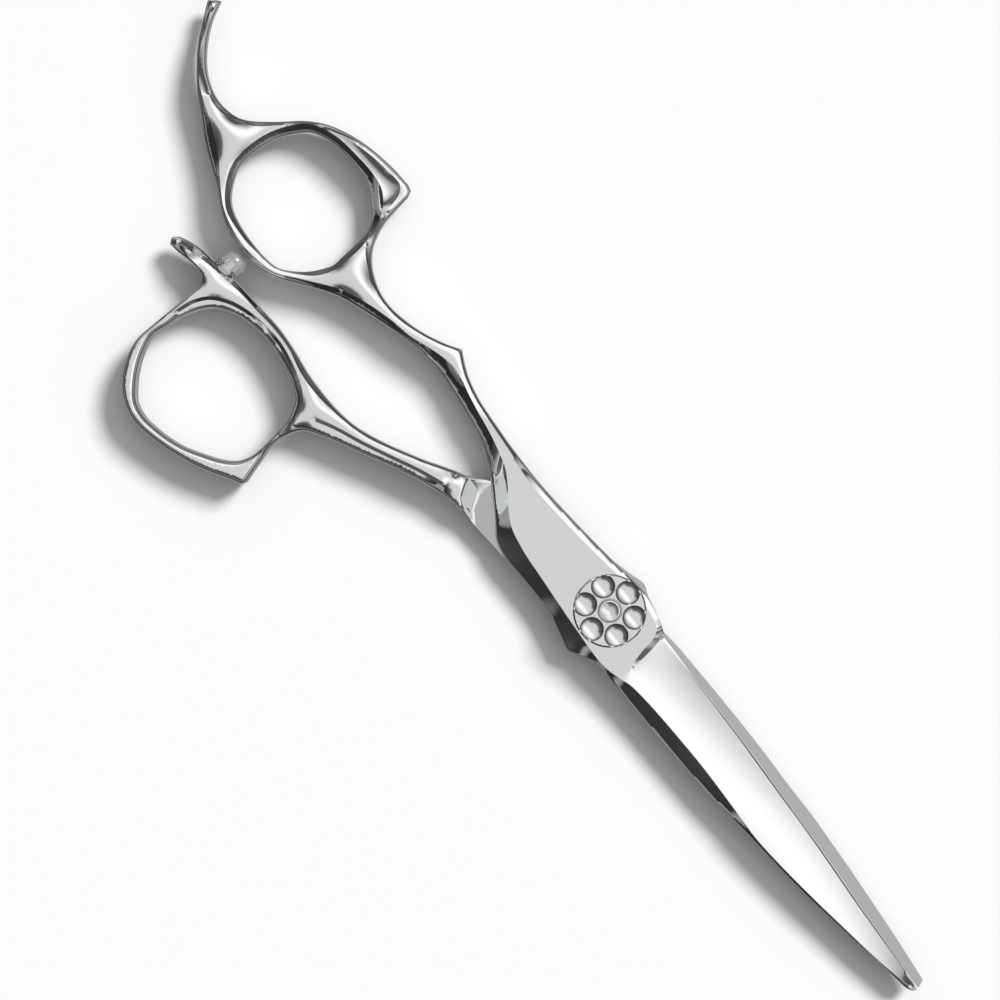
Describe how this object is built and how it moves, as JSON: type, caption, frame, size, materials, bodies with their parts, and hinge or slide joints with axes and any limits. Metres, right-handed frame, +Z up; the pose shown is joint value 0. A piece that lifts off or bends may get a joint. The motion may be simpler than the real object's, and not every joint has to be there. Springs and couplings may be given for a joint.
{
  "type": "hair cutting shears",
  "caption": "Hair cutting shears with offset finger rings, a curved finger rest, a flat click dial at the pivot and convex blades.",
  "frame": {"origin": "pivot axis, at the plane that the closed shears rest on (underside of the pivot screw's head)", "axes": "+X from the pivot towards the blade tips, +Y towards the finger ring's side, +Z up along the pivot axis to the dial"},
  "size_m": [0.17, 0.0507, 0.0077],
  "materials": {
    "polished_steel": "mirror polished stainless steel",
    "screw_steel": "turned stainless steel",
    "spring_steel": "satin spring steel",
    "dial_chrome": "polished chrome",
    "ferrule_steel": "fine turned grooves",
    "ball_steel": "polished bearing steel",
    "cage_brass": "satin brass",
    "white_polymer": "low friction polymer",
    "clear_silicone": "translucent soft silicone"
  },
  "bodies": {
    "finger_half": {"finger_blade": "polished_steel", "pivot_screw": "screw_steel", "head_washer": "white_polymer", "seat_washer": "white_polymer", "spring_washer": "spring_steel"},
    "thumb_half": {"thumb_blade": "polished_steel", "thumb_bush": "white_polymer", "bumper": "clear_silicone", "bumper_ferrule": "ferrule_steel"},
    "ball_race": {"bearing_cage": "cage_brass", "thrust_ball_1": "ball_steel", "thrust_ball_2": "ball_steel", "thrust_ball_3": "ball_steel", "thrust_ball_4": "ball_steel", "thrust_ball_5": "ball_steel", "thrust_ball_6": "ball_steel", "thrust_ball_7": "ball_steel", "thrust_ball_8": "ball_steel"},
    "click_carriage": {"click_plate": "spring_steel"},
    "dial": {"tension_dial": "dial_chrome"}
  },
  "joints": [
    {"name": "blade_pivot", "type": "hinge", "parent": "finger_half", "child": "thumb_half", "pos_m": [0, 0, 0.0032], "axis": [0, 0, 1], "range_deg": [0, 90]},
    {"name": "race_turn", "type": "hinge", "parent": "finger_half", "child": "ball_race", "pos_m": [0, 0, 0.0032], "axis": [0, 0, 1], "range_deg": [0, 45]},
    {"name": "click_lift", "type": "slide", "parent": "finger_half", "child": "click_carriage", "axis": [0, 0, 1], "range_m": [-0.00014583, 0.00014583], "deforming": ["spring_washer"]},
    {"name": "tension_turn", "type": "hinge", "parent": "click_carriage", "child": "dial", "pos_m": [0, 0, 0.007], "axis": [0, 0, 1], "range_deg": [-151, 151]}
  ],
  "couplings": [
    {"joint": "race_turn", "follows": "blade_pivot", "ratio": 0.5},
    {"joint": "tension_turn", "follows": "click_lift", "rad_per_m": 17952}
  ]
}
